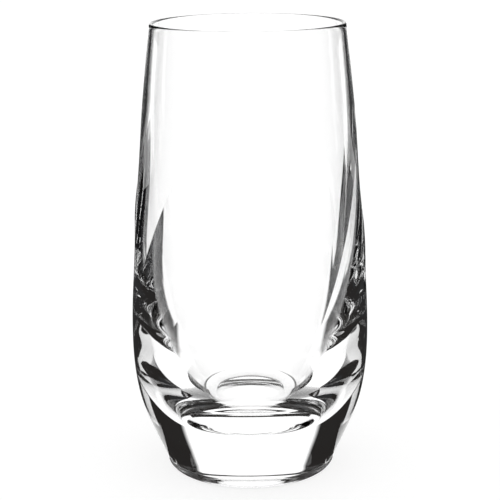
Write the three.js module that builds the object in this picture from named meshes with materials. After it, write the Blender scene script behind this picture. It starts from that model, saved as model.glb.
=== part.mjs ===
// A clear crystal beer tumbler: a barrel-shaped bowl with ten twisted facets on a heavy solid base.
// Millimetres, +Z up. The origin is the middle of the foot, on the table.
import * as THREE from 'three';

// Outside of the glass
const HEIGHT = 150;
const RIM_RADIUS = 31.9;
const RIM_WALL = 1.35;
const SHOULDER_HEIGHT = 82; // where the upper wall's end tangents cross
const BELLY_RADIUS = 39.7;
const BELLY_HEIGHT = 46;
const BELLY_RISE = 11; // from the base up to where the lower wall's end tangents cross

// Solid base
const BASE_HEIGHT = 17;
const BASE_RADIUS = 34.9; // at its top, where the bowl stands on it
const FOOT_RADIUS = 28.6; // at its bottom, above the rounded heel
const HEEL_RADIUS = 2.5;
const PUNT_RADIUS = 20; // shallow dish in the underside
const PUNT_DEPTH = 2.4;

// Cavity
const FLOOR_SKIN = 2; // glass of the bowl under the cavity's floor
const FLOOR_RADIUS = 11.5; // flat middle of the floor
const CAVITY_INSET = 4.8; // how much narrower the cavity's widest place is than the belly
const CAVITY_BELLY_HEIGHT = 80;
const CAVITY_SHOULDER_HEIGHT = 113.5; // where the upper cavity's end tangents cross
const CAVITY_SIDE_HANDLE = 38; // how far the side runs on straight down before it turns in
const CAVITY_FLOOR_HANDLE = 11; // how far the floor runs on straight out before it turns up

// Twisted facets on the outside
const FACETS = 10;
const FACET_DEPTH = 0.6;
const TWIST = 0.72; // degrees for each millimetre of height
const FIRST_RIDGE = -96.4; // degrees from +X, where one ridge's line meets the table
const PLAIN_BAND = 22; // round wall under the rim
const FACET_FADE_IN = 40; // from the plain band down to full depth
const PLAIN_FOOT = 32; // round wall above the base
const FACET_FADE_OUT = 36; // from there up to full depth

// Fineness of the mesh
const SEGMENTS = FACETS * 6;
const LOWER_STEPS = 7;
const UPPER_STEPS = 16;
const LIP_STEPS = 6;
const CAVITY_STEPS = 10;
const HEEL_STEPS = 4;
const PUNT_STEPS = 4;

const LIP_RADIUS = RIM_WALL / 2;
const LIP_HEIGHT = HEIGHT - LIP_RADIUS;
const FLOOR_HEIGHT = BASE_HEIGHT + FLOOR_SKIN;
const CAVITY_RADIUS = BELLY_RADIUS - CAVITY_INSET;

const point = (radius, height) => new THREE.Vector2(radius, height);

// The twist of the facets at a height, in radians.
const turnAt = (height) => THREE.MathUtils.degToRad(FIRST_RIDGE + TWIST * height);

// How deep the facets are at a height: none in the plain band and the plain foot.
function facetDepthAt(height) {
  const bandEdge = HEIGHT - PLAIN_BAND;
  const footEdge = BASE_HEIGHT + PLAIN_FOOT;
  const fadeIn = THREE.MathUtils.smoothstep(bandEdge - height, 0, FACET_FADE_IN);
  const fadeOut = THREE.MathUtils.smoothstep(height - footEdge, 0, FACET_FADE_OUT);
  return FACET_DEPTH * fadeIn * fadeOut;
}

// Points on a quarter circle or a half circle, from one angle to another.
function arcPoints(centre, radius, fromAngle, toAngle, steps) {
  return Array.from({ length: steps + 1 }, (_, step) => {
    const angle = THREE.MathUtils.lerp(fromAngle, toAngle, step / steps);
    return point(centre.x + radius * Math.cos(angle), centre.y + radius * Math.sin(angle));
  });
}

// The outer wall of the bowl, from the base up to the lip.
function outerWall() {
  const belly = point(BELLY_RADIUS, BELLY_HEIGHT);
  const lower = new THREE.QuadraticBezierCurve(
    point(BASE_RADIUS, BASE_HEIGHT), point(BELLY_RADIUS, BASE_HEIGHT + BELLY_RISE), belly);
  const upper = new THREE.QuadraticBezierCurve(
    belly, point(BELLY_RADIUS, SHOULDER_HEIGHT), point(RIM_RADIUS, LIP_HEIGHT));
  return [...lower.getPoints(LOWER_STEPS), ...upper.getPoints(UPPER_STEPS).slice(1)];
}

// The cavity, from the lip down to the edge of its flat floor.
function cavityWall() {
  const widest = point(CAVITY_RADIUS, CAVITY_BELLY_HEIGHT);
  const upper = new THREE.QuadraticBezierCurve(
    point(RIM_RADIUS - RIM_WALL, LIP_HEIGHT), point(CAVITY_RADIUS, CAVITY_SHOULDER_HEIGHT), widest);
  const lower = new THREE.CubicBezierCurve(
    widest, point(CAVITY_RADIUS, CAVITY_BELLY_HEIGHT - CAVITY_SIDE_HANDLE),
    point(FLOOR_RADIUS + CAVITY_FLOOR_HANDLE, FLOOR_HEIGHT), point(FLOOR_RADIUS, FLOOR_HEIGHT));
  return [...upper.getPoints(CAVITY_STEPS), ...lower.getPoints(CAVITY_STEPS).slice(1)];
}

// The rounded top edge, between the outer wall and the cavity.
function lip() {
  const centre = point(RIM_RADIUS - LIP_RADIUS, LIP_HEIGHT);
  return arcPoints(centre, LIP_RADIUS, 0, Math.PI, LIP_STEPS).slice(1, -1);
}

// A ring of points round the axis. Columns follow the twist, so that every sixth one is a ridge.
function ring({ radius, height, turn, depth }) {
  return Array.from({ length: SEGMENTS }, (_, column) => {
    const acrossFacet = (column * FACETS / SEGMENTS) % 1;
    const hollow = 1 - (2 * acrossFacet - 1) ** 2;
    const angle = turn + 2 * Math.PI * column / SEGMENTS;
    const reach = radius - depth * hollow;
    return [reach * Math.cos(angle), reach * Math.sin(angle), height];
  });
}

// A closed solid from rings that run from the axis at the bottom, round the outside, to the axis again.
function solidFromRings(startHeight, rings, endHeight) {
  const positions = [[0, 0, startHeight], ...rings.flatMap(ring), [0, 0, endHeight]];
  const start = 0;
  const end = positions.length - 1;
  const vertex = (row, column) => 1 + row * SEGMENTS + column % SEGMENTS;
  const indices = [];
  const last = rings.length - 1;
  for (let column = 0; column < SEGMENTS; column += 1) {
    indices.push(start, vertex(0, column + 1), vertex(0, column));
    for (let row = 0; row < last; row += 1) {
      const a = vertex(row, column);
      const b = vertex(row, column + 1);
      const c = vertex(row + 1, column + 1);
      const d = vertex(row + 1, column);
      indices.push(a, b, c, a, c, d);
    }
    indices.push(end, vertex(last, column), vertex(last, column + 1));
  }
  const geometry = new THREE.BufferGeometry();
  geometry.setAttribute('position', new THREE.Float32BufferAttribute(positions.flat(), 3));
  geometry.setIndex(indices);
  geometry.computeVertexNormals();
  return geometry;
}

// The bowl: the faceted wall, the lip and the cavity, with a thin floor that lies on the base.
function bowlGeometry() {
  const outside = outerWall().map(({ x, y }) => (
    { radius: x, height: y, turn: turnAt(y), depth: facetDepthAt(y) }));
  const inside = [...lip(), ...cavityWall()].map(({ x, y }) => (
    { radius: x, height: y, turn: turnAt(y), depth: 0 }));
  return solidFromRings(BASE_HEIGHT, [...outside, ...inside], FLOOR_HEIGHT);
}

// The base: a solid cone of glass with a rounded heel and a shallow dish underneath.
function baseGeometry() {
  const punt = Array.from({ length: PUNT_STEPS }, (_, step) => {
    const share = (step + 1) / PUNT_STEPS;
    return point(PUNT_RADIUS * share, PUNT_DEPTH * (1 - share ** 2));
  });
  const heelCentre = point(FOOT_RADIUS - HEEL_RADIUS, HEEL_RADIUS);
  const heel = arcPoints(heelCentre, HEEL_RADIUS, -Math.PI / 2, 0, HEEL_STEPS);
  const profile = [...punt, ...heel, point(BASE_RADIUS, BASE_HEIGHT)];
  const rings = profile.map(({ x, y }) => (
    { radius: x, height: y, turn: turnAt(BASE_HEIGHT), depth: 0 }));
  return solidFromRings(PUNT_DEPTH, rings, BASE_HEIGHT);
}

function glassMesh(name, geometry) {
  const glass = new THREE.MeshStandardMaterial({ color: 0xf3f7f7, roughness: 0.03, metalness: 0 });
  const mesh = new THREE.Mesh(geometry, glass);
  mesh.name = name;
  return mesh;
}

const tumbler = new THREE.Group();
tumbler.add(glassMesh('bowl', bowlGeometry()), glassMesh('base', baseGeometry()));

export default tumbler;
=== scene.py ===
"""A clear crystal beer tumbler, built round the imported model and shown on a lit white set."""
import math

import bpy
from bpy.props import FloatProperty, FloatVectorProperty, IntProperty, PointerProperty
from bpy.types import Operator, Panel, PropertyGroup
from mathutils import Euler, Matrix, Vector


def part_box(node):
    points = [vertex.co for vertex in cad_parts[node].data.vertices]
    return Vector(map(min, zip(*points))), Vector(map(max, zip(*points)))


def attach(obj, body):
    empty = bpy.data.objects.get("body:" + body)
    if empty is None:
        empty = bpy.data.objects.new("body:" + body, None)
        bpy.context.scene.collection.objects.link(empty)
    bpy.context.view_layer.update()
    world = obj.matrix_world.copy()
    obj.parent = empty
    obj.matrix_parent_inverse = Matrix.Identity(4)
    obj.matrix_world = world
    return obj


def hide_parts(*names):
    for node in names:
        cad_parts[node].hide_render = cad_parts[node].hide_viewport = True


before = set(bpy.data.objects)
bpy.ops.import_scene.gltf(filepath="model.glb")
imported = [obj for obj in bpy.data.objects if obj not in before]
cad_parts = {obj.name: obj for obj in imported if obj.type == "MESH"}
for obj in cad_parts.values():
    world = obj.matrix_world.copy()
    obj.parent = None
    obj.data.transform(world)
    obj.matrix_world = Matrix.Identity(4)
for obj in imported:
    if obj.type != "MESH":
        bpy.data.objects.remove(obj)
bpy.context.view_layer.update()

bl_info = {
    "name": "Beer Tumbler",
    "version": (1, 0, 0),
    "blender": (4, 5, 0),
    "location": "View3D > Sidebar > Tumbler",
    "description": "Builds a faceted crystal tumbler and the white table that it is shown on",
    "category": "Object",
}

BODY = "root"
TOTAL_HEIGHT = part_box("bowl")[1].z
SPLIT_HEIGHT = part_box("base")[1].z

COLUMNS_PER_FACET = 28
RIDGE_PULL = 0.8
WALL_STEPS = 80
LOWER_WALL_STEPS = 28
CAVITY_STEPS = 60
LIP_STEPS = 12
HEEL_STEPS = 10
FLANK_STEPS = 12
DISH_STEPS = 14
FLOOR_STEPS = 6

WHITE = (1.0, 1.0, 1.0)
MILLIMETRES_PER_METRE = 1000.0

RIPPLE_DETAIL = 2.0
HAZE_SCALE = 0.2
HAZE_DETAIL = 6.0
HAZE_START = 0.45
HAZE_FULL = 0.8

TABLE_LEVEL = -0.0001
FOOT_LIGHT_LEVEL = -0.0002
SWEEP_LEVEL = -0.0003
BOOTH_FLOOR_LEVEL = -0.0004
BOOTH_BEHIND = 0.002
CARD_GAP = 0.001
DISC_CORNERS = 48
PATH_BOUNCES = 32
MIRROR_BOUNCES = 16


def length(name, description, default):
    """A size in metres."""
    return FloatProperty(
        name=name, description=description, default=default, min=0.0, precision=4,
        unit="LENGTH", subtype="DISTANCE")


def share(name, description, default):
    """A plain number from 0 up."""
    return FloatProperty(name=name, description=description, default=default, min=0.0, precision=4)


def angle(name, description, degrees):
    """An angle, given in degrees and held in radians."""
    return FloatProperty(
        name=name, description=description, default=math.radians(degrees), subtype="ANGLE")


def hue(name, description, default):
    """A colour, as shares of red, green and blue."""
    return FloatVectorProperty(
        name=name, description=description, default=default, min=0.0, max=1.0, subtype="COLOR")


class TumblerShape(PropertyGroup):
    """Sizes of the glass itself."""
    height: length("Height", "From the table to the top of the rim", TOTAL_HEIGHT)
    rim_radius: length("Rim radius", "Outside of the rim", 0.0319)
    rim_wall: length("Rim wall", "Thickness of the glass at the rim", 0.00135)
    shoulder_height: length("Shoulder height", "Where the upper wall's end tangents cross", 0.082)
    belly_radius: length("Belly radius", "Widest place of the outside", 0.0397)
    belly_height: length("Belly height", "Height of the widest place", 0.046)
    belly_rise: length("Belly rise", "From the base up to the lower wall's tangent crossing", 0.011)
    base_height: length("Base height", "Where the bowl goes over into the base", SPLIT_HEIGHT)
    base_radius: length("Base radius", "Outside at that height", 0.0349)
    foot_radius: length("Foot radius", "Outside of the foot, above its heel", 0.0286)
    heel_radius: length("Heel radius", "Rounding of the foot's lower edge", 0.0025)
    dish_radius: length("Dish radius", "Shallow dish in the underside", 0.020)
    dish_depth: length("Dish depth", "How far that dish rises", 0.0024)
    floor_skin: length("Floor skin", "From the base's top up to the cavity's floor", 0.002)
    floor_radius: length("Floor radius", "Flat middle of the cavity's floor", 0.0115)
    cavity_inset: length("Cavity inset", "How much narrower the cavity is than the belly", 0.0048)
    cavity_belly_height: length("Cavity belly height", "Height of the cavity's widest place", 0.080)
    cavity_shoulder_height: length("Cavity shoulder height", "Upper tangent crossing", 0.1135)
    cavity_side_handle: length(
        "Cavity side handle", "Straight run down before the floor's turn", 0.038)
    cavity_floor_handle: length("Cavity floor handle", "Straight run out before the turn up", 0.011)


class TumblerFacets(PropertyGroup):
    """The twisted facets on the outside."""
    count: IntProperty(name="Count", description="Facets round the glass", default=10, min=3)
    depth: length("Depth", "How far a facet's middle lies inside the round", 0.0006)
    twist: angle("Twist", "Turn of the facets for each millimetre of height", 0.72)
    first_ridge: angle("First ridge", "Where one ridge's line meets the table, from +X", -96.4)
    plain_band: length("Plain band", "Round wall under the rim", 0.022)
    fade_in: length("Fade in", "From the plain band down to full depth", 0.040)
    plain_foot: length("Plain foot", "Round wall above the base", 0.032)
    fade_out: length("Fade out", "From the plain foot up to full depth", 0.036)


class TumblerFinish(PropertyGroup):
    """The glass as a material."""
    tint: hue("Tint", "Colour that the glass lets through", WHITE)
    ior: FloatProperty(
        name="IOR", description="How strongly the glass bends light", default=1.52, min=1.0)
    ripple_size: length("Ripple size", "Width of the faint ripples left by the mould", 0.012)
    ripple_height: length("Ripple height", "How high the ripples are", 0.000005)
    polish_haze: share("Polish haze", "Greatest roughness of the polished surface", 0.02)


class TumblerStage(PropertyGroup):
    """Camera, table and light."""
    camera_place: FloatVectorProperty(
        name="Camera place", description="Where the camera stands",
        default=(0.0002, -0.4736, 0.1945), unit="LENGTH", subtype="TRANSLATION")
    camera_pitch: angle("Camera pitch", "How far the camera looks down", 14.26)
    camera_roll: angle("Camera roll", "How far the camera leans to its right", 0.45)
    lens: FloatProperty(
        name="Lens", description="Focal length", default=105.08, min=1.0, unit="CAMERA")
    table_size: length("Table size", "Side of the square table", 6.0)
    table_colour: hue("Table colour", "Pale colour of the table", WHITE)
    table_glow: share("Table glow", "The table's own white, where 1 is white", 0.8)
    table_share: share(
        "Table share", "How much the table gives back of the light that falls on it", 0.25)
    sweep_distance: length(
        "Sweep distance", "From the glass's axis back to the upright part of the sweep", 0.26)
    sweep_white: length("Sweep white", "Half width of the evenly white part of the sweep", 0.104)
    sweep_edge: length("Sweep edge", "Half width at which the white has faded out", 0.124)
    sweep_strength: share("Sweep strength", "Light from the sweep, where 1 is white", 1.25)
    flag_distance: length("Flag distance", "From the glass's axis back to the two dark flags", 0.06)
    flag_clear: length("Flag clear", "Half width of the clear window between the flags", 0.048)
    flag_dark: length(
        "Flag dark", "Half width at which the flags' soft edges are fully dark", 0.052)
    flag_reach: length("Flag reach", "Half width at which the flags end", 0.075)
    low_flag_reach: length("Low flag reach", "Half width at which the lower, wider flags end", 0.29)
    low_flag_height: length("Low flag height", "Height of the lower, wider flags", 0.08)
    flag_colour: hue("Flag colour", "Cool black of the flags' cloth", (0.94, 0.95, 1.0))
    flag_level: share("Flag level", "How light the flags' cloth is, where 1 is white", 0.03)
    foot_light_radius: length("Foot light radius", "White disc under the foot", 0.0268)
    booth_width: length("Booth width", "Width of the dark booth round the glass", 0.6)
    booth_front: length("Booth front", "From the glass's axis forward to the booth's front", 0.3)
    booth_height: length("Booth height", "Height of the booth's dark ceiling", 0.5)
    booth_sill: length("Booth sill", "Height up to which the booth's front is closed", 0.15)
    booth_colour: hue("Booth colour", "Warm black of the booth's cloth", (1.0, 0.92, 0.88))
    booth_level: share("Booth level", "How light the booth's dark cloth is, where 1 is white", 0.02)
    side_height: length(
        "Side height", "Height of the white cards that stand at the booth's two sides", 0.14)
    side_start: length(
        "Side start", "From the glass's axis back to where the side cards start", 0.16)
    side_strength: share("Side strength", "Light from the side cards, where 1 is white", 1.0)


def quadratic(start, control, end, steps):
    """Points on a quadratic curve, both ends included."""
    shares = (step / steps for step in range(steps + 1))
    return [(1 - t) ** 2 * start + 2 * t * (1 - t) * control + t * t * end for t in shares]


def cubic(start, leaving, arriving, end, steps):
    """Points on a cubic curve, both ends included."""
    shares = (step / steps for step in range(steps + 1))
    return [
        (1 - t) ** 3 * start + 3 * t * (1 - t) ** 2 * leaving
        + 3 * t * t * (1 - t) * arriving + t ** 3 * end
        for t in shares]


def straight(start, end, steps):
    """Points on a straight line, both ends included."""
    return [start.lerp(end, step / steps) for step in range(steps + 1)]


def arc(centre, radius, from_angle, to_angle, steps):
    """Points on a circle between two angles, both ends included."""
    turns = (from_angle + (to_angle - from_angle) * step / steps for step in range(steps + 1))
    return [centre + radius * Vector((math.cos(turn), math.sin(turn))) for turn in turns]


def smoothstep(value, full):
    """0 below 0, 1 above full, and a smooth rise between."""
    t = min(max(value / full, 0.0), 1.0)
    return t * t * (3 - 2 * t)


def underside(shape):
    """The shallow dish, from next to the axis out to its edge, as (radius, height) points."""
    shares = ((step + 1) / DISH_STEPS for step in range(DISH_STEPS))
    return [Vector((shape.dish_radius * t, shape.dish_depth * (1 - t * t))) for t in shares]


def outside(shape):
    """The heel, the base's flank and the outer wall, up to the lip."""
    heel_centre = Vector((shape.foot_radius - shape.heel_radius, shape.heel_radius))
    heel = arc(heel_centre, shape.heel_radius, -math.pi / 2, 0.0, HEEL_STEPS)
    base_edge = Vector((shape.base_radius, shape.base_height))
    flank = straight(heel[-1], base_edge, FLANK_STEPS)
    belly = Vector((shape.belly_radius, shape.belly_height))
    lower_control = Vector((shape.belly_radius, shape.base_height + shape.belly_rise))
    lower = quadratic(base_edge, lower_control, belly, LOWER_WALL_STEPS)
    lip_edge = Vector((shape.rim_radius, shape.height - shape.rim_wall / 2))
    upper_control = Vector((shape.belly_radius, shape.shoulder_height))
    upper = quadratic(belly, upper_control, lip_edge, WALL_STEPS)
    return heel + flank[1:] + lower[1:] + upper[1:]


def lip(shape):
    """The rounded top edge, without its two ends."""
    half_wall = shape.rim_wall / 2
    centre = Vector((shape.rim_radius - half_wall, shape.height - half_wall))
    return arc(centre, half_wall, 0.0, math.pi, LIP_STEPS)[1:-1]


def cavity(shape):
    """The inside, from the lip down to the floor and in to next to the axis."""
    widest = Vector((shape.belly_radius - shape.cavity_inset, shape.cavity_belly_height))
    lip_edge = Vector((shape.rim_radius - shape.rim_wall, shape.height - shape.rim_wall / 2))
    upper_control = Vector((widest.x, shape.cavity_shoulder_height))
    upper = quadratic(lip_edge, upper_control, widest, CAVITY_STEPS)
    floor_edge = Vector((shape.floor_radius, shape.base_height + shape.floor_skin))
    side_control = widest - Vector((0.0, shape.cavity_side_handle))
    floor_control = floor_edge + Vector((shape.cavity_floor_handle, 0.0))
    lower = cubic(widest, side_control, floor_control, floor_edge, CAVITY_STEPS)
    floor = straight(floor_edge, Vector((0.0, floor_edge.y)), FLOOR_STEPS)
    return upper + lower[1:] + floor[1:-1]


def facet_depth(height, shape, facets):
    """How deep the facets are at a height: none under the rim and above the base."""
    fade_in = smoothstep(shape.height - facets.plain_band - height, facets.fade_in)
    fade_out = smoothstep(height - shape.base_height - facets.plain_foot, facets.fade_out)
    return facets.depth * fade_in * fade_out


def columns_round(facets):
    """Each column's turn round the axis and its place across its facet, closest at the ridges."""
    columns = []
    for facet in range(facets.count):
        for column in range(COLUMNS_PER_FACET):
            even = column / COLUMNS_PER_FACET
            across = even - RIDGE_PULL * math.sin(2 * math.pi * even) / (2 * math.pi)
            columns.append((2 * math.pi * (facet + across) / facets.count, across))
    return columns


def ring(point, depth, facets, columns):
    """One ring of vertices at a profile point, turned with the facets' twist."""
    radius, height = point
    turn = facets.first_ridge + facets.twist * height * MILLIMETRES_PER_METRE
    vertices = []
    for column_turn, across in columns:
        reach = radius - depth * (1 - (2 * across - 1) ** 2)
        whole_turn = turn + column_turn
        vertices.append((reach * math.cos(whole_turn), reach * math.sin(whole_turn), height))
    return vertices


def ring_faces(rings, per_ring, start, end):
    """Quads between neighbouring rings, and a fan at each end to the vertices on the axis."""
    faces = []
    last = (rings - 1) * per_ring
    for column in range(per_ring):
        after = (column + 1) % per_ring
        faces.append((start, after, column))
        faces.append((end, last + column, last + after))
        for row in range(0, last, per_ring):
            upper = row + per_ring
            faces.append((row + column, row + after, upper + after, upper + column))
    return faces


def glass_mesh(shape, facets):
    """The whole tumbler as one closed skin: underside, outside, lip, cavity."""
    columns = columns_round(facets)
    skin = [(point, 0.0) for point in underside(shape)]
    skin += [(point, facet_depth(point.y, shape, facets)) for point in outside(shape)]
    skin += [(point, 0.0) for point in lip(shape) + cavity(shape)]
    vertices = [vertex for point, depth in skin for vertex in ring(point, depth, facets, columns)]
    start = len(vertices)
    vertices.append((0.0, 0.0, shape.dish_depth))
    vertices.append((0.0, 0.0, shape.base_height + shape.floor_skin))
    mesh = bpy.data.meshes.new("tumbler")
    mesh.from_pydata(vertices, [], ring_faces(len(skin), len(columns), start, start + 1))
    mesh.shade_smooth()
    return mesh


def glass_material(finish):
    """Polished clear crystal, with the mould's faint ripples and a trace of haze from washing."""
    material = bpy.data.materials.new("clear_crystal")
    material.use_nodes = True
    tree = material.node_tree
    shader = tree.nodes["Principled BSDF"]
    shader.inputs["Base Color"].default_value = (*finish.tint, 1.0)
    shader.inputs["IOR"].default_value = finish.ior
    shader.inputs["Transmission Weight"].default_value = 1.0

    place = tree.nodes.new("ShaderNodeTexCoord")
    ripples = tree.nodes.new("ShaderNodeTexNoise")
    ripples.inputs["Scale"].default_value = 1.0 / finish.ripple_size
    ripples.inputs["Detail"].default_value = RIPPLE_DETAIL
    tree.links.new(place.outputs["Object"], ripples.inputs["Vector"])
    bump = tree.nodes.new("ShaderNodeBump")
    bump.inputs["Distance"].default_value = finish.ripple_height
    tree.links.new(ripples.outputs["Fac"], bump.inputs["Height"])
    tree.links.new(bump.outputs["Normal"], shader.inputs["Normal"])

    haze = tree.nodes.new("ShaderNodeTexNoise")
    haze.inputs["Scale"].default_value = HAZE_SCALE / finish.ripple_size
    haze.inputs["Detail"].default_value = HAZE_DETAIL
    tree.links.new(place.outputs["Object"], haze.inputs["Vector"])
    spread = tree.nodes.new("ShaderNodeMapRange")
    spread.inputs["From Min"].default_value = HAZE_START
    spread.inputs["From Max"].default_value = HAZE_FULL
    spread.inputs["To Max"].default_value = finish.polish_haze
    tree.links.new(haze.outputs["Fac"], spread.inputs["Value"])
    tree.links.new(spread.outputs["Result"], shader.inputs["Roughness"])
    return material


def even_light(name, colour, strength):
    """A material that gives off the same light everywhere."""
    material = bpy.data.materials.new(name)
    material.use_nodes = True
    tree = material.node_tree
    tree.nodes.clear()
    glow = tree.nodes.new("ShaderNodeEmission")
    glow.inputs["Color"].default_value = (*colour, 1.0)
    glow.inputs["Strength"].default_value = strength
    output = tree.nodes.new("ShaderNodeOutputMaterial")
    tree.links.new(glow.outputs["Emission"], output.inputs["Surface"])
    return material


def table_material(stage):
    """A white table: a white of its own, and on top of it what the room's light adds."""
    material = even_light("white_table", stage.table_colour, stage.table_glow)
    tree = material.node_tree
    lit = tree.nodes.new("ShaderNodeBsdfDiffuse")
    given_back = (stage.table_share * part for part in stage.table_colour)
    lit.inputs["Color"].default_value = (*given_back, 1.0)
    both = tree.nodes.new("ShaderNodeAddShader")
    tree.links.new(tree.nodes["Emission"].outputs["Emission"], both.inputs[0])
    tree.links.new(lit.outputs["BSDF"], both.inputs[1])
    tree.links.new(both.outputs["Shader"], tree.nodes["Material Output"].inputs["Surface"])
    return material


def fade_aside(tree, inner, outer, from_value, to_value):
    """A value that changes between two distances from the middle, alike to the left and right."""
    place = tree.nodes.new("ShaderNodeTexCoord")
    axes = tree.nodes.new("ShaderNodeSeparateXYZ")
    tree.links.new(place.outputs["Object"], axes.inputs["Vector"])
    aside = tree.nodes.new("ShaderNodeMath")
    aside.operation = "ABSOLUTE"
    tree.links.new(axes.outputs["X"], aside.inputs[0])
    fade = tree.nodes.new("ShaderNodeMapRange")
    fade.interpolation_type = "SMOOTHSTEP"
    fade.inputs["From Min"].default_value = inner
    fade.inputs["From Max"].default_value = outer
    fade.inputs["To Min"].default_value = from_value
    fade.inputs["To Max"].default_value = to_value
    tree.links.new(aside.outputs["Value"], fade.inputs["Value"])
    return fade.outputs["Result"]


def fading_white(name, stage, inner, outer):
    """White paper lit from behind, which fades out towards its two sides."""
    material = even_light(name, WHITE, stage.sweep_strength)
    tree = material.node_tree
    strength = fade_aside(tree, inner, outer, stage.sweep_strength, 0.0)
    tree.links.new(strength, tree.nodes["Emission"].inputs["Strength"])
    return material


def flag_material(stage):
    """Dark cloth with a clear window in the middle, whose edges are soft."""
    material = even_light("flag_black", stage.flag_colour, stage.flag_level)
    tree = material.node_tree
    clear = tree.nodes.new("ShaderNodeBsdfTransparent")
    either = tree.nodes.new("ShaderNodeMixShader")
    cloth = fade_aside(tree, stage.flag_clear, stage.flag_dark, 0.0, 1.0)
    tree.links.new(cloth, either.inputs["Fac"])
    tree.links.new(clear.outputs["BSDF"], either.inputs[1])
    tree.links.new(tree.nodes["Emission"].outputs["Emission"], either.inputs[2])
    tree.links.new(either.outputs["Shader"], tree.nodes["Material Output"].inputs["Surface"])
    return material


def stage_mesh(name, vertices, faces, material):
    """A mesh that belongs to the stage and not to the glass."""
    mesh = bpy.data.meshes.new(name)
    mesh.from_pydata(vertices, [], faces)
    mesh.materials.append(material)
    made = bpy.data.objects.new(name, mesh)
    bpy.context.scene.collection.objects.link(made)
    return made


def card(name, vertices, faces, material, rig=None):
    """A card that the glass bends and mirrors, but that the camera and the table don't see."""
    made = stage_mesh(name, vertices, faces, material)
    made.parent = rig
    made.visible_camera = False
    made.visible_diffuse = False
    made.visible_shadow = False


def table(stage):
    """The table, a hair below the foot. In its place the glass shows the sweep and the booth."""
    half = stage.table_size / 2
    square = ((-half, -half), (half, -half), (half, half), (-half, half))
    corners = [(x, y, TABLE_LEVEL) for x, y in square]
    made = stage_mesh("table", corners, [(0, 1, 2, 3)], table_material(stage))
    made.visible_glossy = False
    made.visible_transmission = False


def foot_light(stage):
    """A white disc that the glass stands on."""
    turns = [2 * math.pi * corner / DISC_CORNERS for corner in range(DISC_CORNERS)]
    radius = stage.foot_light_radius
    corners = [
        (radius * math.cos(turn), radius * math.sin(turn), FOOT_LIGHT_LEVEL) for turn in turns]
    material = even_light("foot_light_white", WHITE, stage.sweep_strength)
    card("foot_light", corners, [tuple(range(DISC_CORNERS))], material)


def light_rig(camera):
    """An empty on the glass's axis that faces the camera, so each view is lit from behind."""
    rig = bpy.data.objects.new("light_rig", None)
    bpy.context.scene.collection.objects.link(rig)
    facing = rig.constraints.new("LOCKED_TRACK")
    facing.target = camera
    facing.track_axis = "TRACK_NEGATIVE_Y"
    facing.lock_axis = "LOCK_Z"
    return rig


def strip(name, half, run, material, rig):
    """A strip across the picture, along a run of (depth, height) points. It turns with the rig."""
    corners = [(x, y, z) for y, z in run for x in (-half, half)]
    faces = [(k, k + 1, k + 3, k + 2) for k in range(0, len(corners) - 2, 2)]
    card(name, corners, faces, material, rig)


def sweep(stage, rig):
    """The white sweep: a narrow run behind the glass, then a wide one that rises at the back."""
    near, back = stage.flag_distance, stage.sweep_distance
    near_white = fading_white("near_white", stage, stage.flag_clear, stage.flag_dark)
    near_run = [(0.0, SWEEP_LEVEL), (near, SWEEP_LEVEL)]
    strip("near_sweep", stage.flag_dark, near_run, near_white, rig)
    far_white = fading_white("far_white", stage, stage.sweep_white, stage.sweep_edge)
    far_run = [(near, SWEEP_LEVEL), (back, SWEEP_LEVEL), (back, stage.booth_height)]
    strip("far_sweep", stage.sweep_edge, far_run, far_white, rig)


def flags(stage, rig):
    """Dark flags behind the glass, left and right, which draw the bands along its ridges."""
    near, behind = stage.flag_distance, stage.flag_distance + CARD_GAP
    material = flag_material(stage)
    high_run = [(near, SWEEP_LEVEL), (near, stage.booth_height)]
    strip("flags", stage.flag_reach, high_run, material, rig)
    low_run = [(behind, SWEEP_LEVEL), (behind, stage.low_flag_height)]
    strip("low_flags", stage.low_flag_reach, low_run, material, rig)


def side_cards(stage, rig):
    """Two low white cards inside the booth's sides, which lift the grey along the upper wall."""
    aside, start, back = stage.booth_width / 2 - CARD_GAP, stage.side_start, stage.sweep_distance
    corners, faces = [], []
    for x in (-aside, aside):
        first = len(corners)
        corners += [(x, y, z) for y in (start, back) for z in (0.0, stage.side_height)]
        faces.append((first, first + 1, first + 3, first + 2))
    card("side_cards", corners, faces, even_light("side_white", WHITE, stage.side_strength), rig)


def booth(stage, rig):
    """A dark booth, open at the upper front, which draws the glass's dark edges."""
    half, low, high = stage.booth_width / 2, BOOTH_FLOOR_LEVEL, stage.booth_height
    front, back = -stage.booth_front, stage.sweep_distance + BOOTH_BEHIND
    corners = []
    for y in (front, back):
        corners += [(-half, y, low), (half, y, low), (half, y, high), (-half, y, high)]
    corners += [(half, front, stage.booth_sill), (-half, front, stage.booth_sill)]
    walls = [(side, (side + 1) % 4, 4 + (side + 1) % 4, 4 + side) for side in range(4)]
    back_wall, sill = (4, 5, 6, 7), (0, 1, 8, 9)
    material = even_light("booth_black", stage.booth_colour, stage.booth_level)
    card("booth", corners, [*walls, back_wall, sill], material, rig)


def photo_camera(stage):
    """The camera, where the photograph was taken from."""
    data = bpy.data.cameras.new("photo_camera")
    data.lens = stage.lens
    camera = bpy.data.objects.new("photo_camera", data)
    bpy.context.scene.collection.objects.link(camera)
    look = Euler((math.pi / 2 - stage.camera_pitch, 0.0, 0.0)).to_matrix()
    roll = Matrix.Rotation(-stage.camera_roll, 3, "Z")
    turned = (look @ roll).to_quaternion()
    camera.matrix_world = Matrix.LocRotScale(stage.camera_place, turned, None)
    bpy.context.scene.camera = camera
    return camera


def white_world():
    """A white world, seen by the camera round the glass and by the glass over the booth's sill."""
    world = bpy.data.worlds.new("white_studio")
    world.use_nodes = True
    world.node_tree.nodes["Background"].inputs["Color"].default_value = (*WHITE, 1.0)
    bpy.context.scene.world = world


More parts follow.
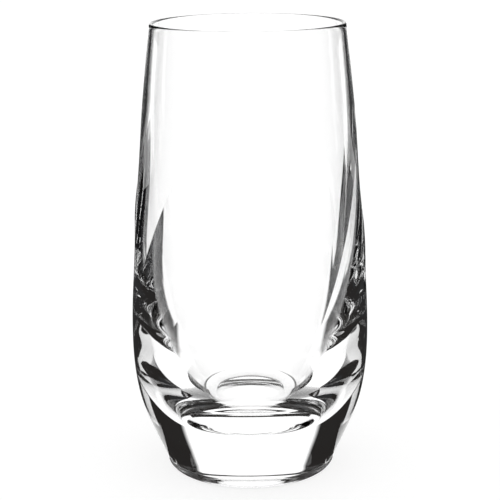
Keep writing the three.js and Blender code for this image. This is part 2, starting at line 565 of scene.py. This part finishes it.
class TUMBLER_OT_glass(Operator):
    """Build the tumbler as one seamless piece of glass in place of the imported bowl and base"""
    bl_idname = "tumbler.build_glass"
    bl_label = "Build Glass"

    def execute(self, context):
        scene = context.scene
        mesh = glass_mesh(scene.tumbler_shape, scene.tumbler_facets)
        mesh.materials.append(glass_material(scene.tumbler_finish))
        piece = bpy.data.objects.new("tumbler", mesh)
        scene.collection.objects.link(piece)
        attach(piece, BODY)
        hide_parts("bowl", "base")
        return {"FINISHED"}


class TUMBLER_OT_stage(Operator):
    """Set up the camera, the white table, the lit sweep and cards and the dark flags and booth"""
    bl_idname = "tumbler.set_stage"
    bl_label = "Set Stage"

    def execute(self, context):
        stage = context.scene.tumbler_stage
        rig = light_rig(photo_camera(stage))
        table(stage)
        foot_light(stage)
        sweep(stage, rig)
        flags(stage, rig)
        side_cards(stage, rig)
        booth(stage, rig)
        white_world()
        context.scene.view_settings.view_transform = "Standard"
        context.scene.cycles.max_bounces = PATH_BOUNCES
        context.scene.cycles.transmission_bounces = PATH_BOUNCES
        context.scene.cycles.glossy_bounces = MIRROR_BOUNCES
        return {"FINISHED"}


class TUMBLER_PT_panel(Panel):
    """Lists the tumbler's sizes and its operators."""
    bl_label = "Beer Tumbler"
    bl_idname = "TUMBLER_PT_panel"
    bl_space_type = "VIEW_3D"
    bl_region_type = "UI"
    bl_category = "Tumbler"

    def draw(self, context):
        for group in GROUPS:
            box = self.layout.box()
            values = getattr(context.scene, group)
            for name in values.bl_rna.properties.keys():
                if name not in ("rna_type", "name"):
                    box.prop(values, name)
        self.layout.operator(TUMBLER_OT_glass.bl_idname)
        self.layout.operator(TUMBLER_OT_stage.bl_idname)


GROUPS = {
    "tumbler_shape": TumblerShape,
    "tumbler_facets": TumblerFacets,
    "tumbler_finish": TumblerFinish,
    "tumbler_stage": TumblerStage,
}
CLASSES = (*GROUPS.values(), TUMBLER_OT_glass, TUMBLER_OT_stage, TUMBLER_PT_panel)


def register():
    for each in CLASSES:
        bpy.utils.register_class(each)
    for name, group in GROUPS.items():
        setattr(bpy.types.Scene, name, PointerProperty(type=group))


def unregister():
    for name in GROUPS:
        delattr(bpy.types.Scene, name)
    for each in reversed(CLASSES):
        bpy.utils.unregister_class(each)


def main():
    register()
    bpy.ops.tumbler.build_glass()
    bpy.ops.tumbler.set_stage()


if __name__ == "__main__":
    main()
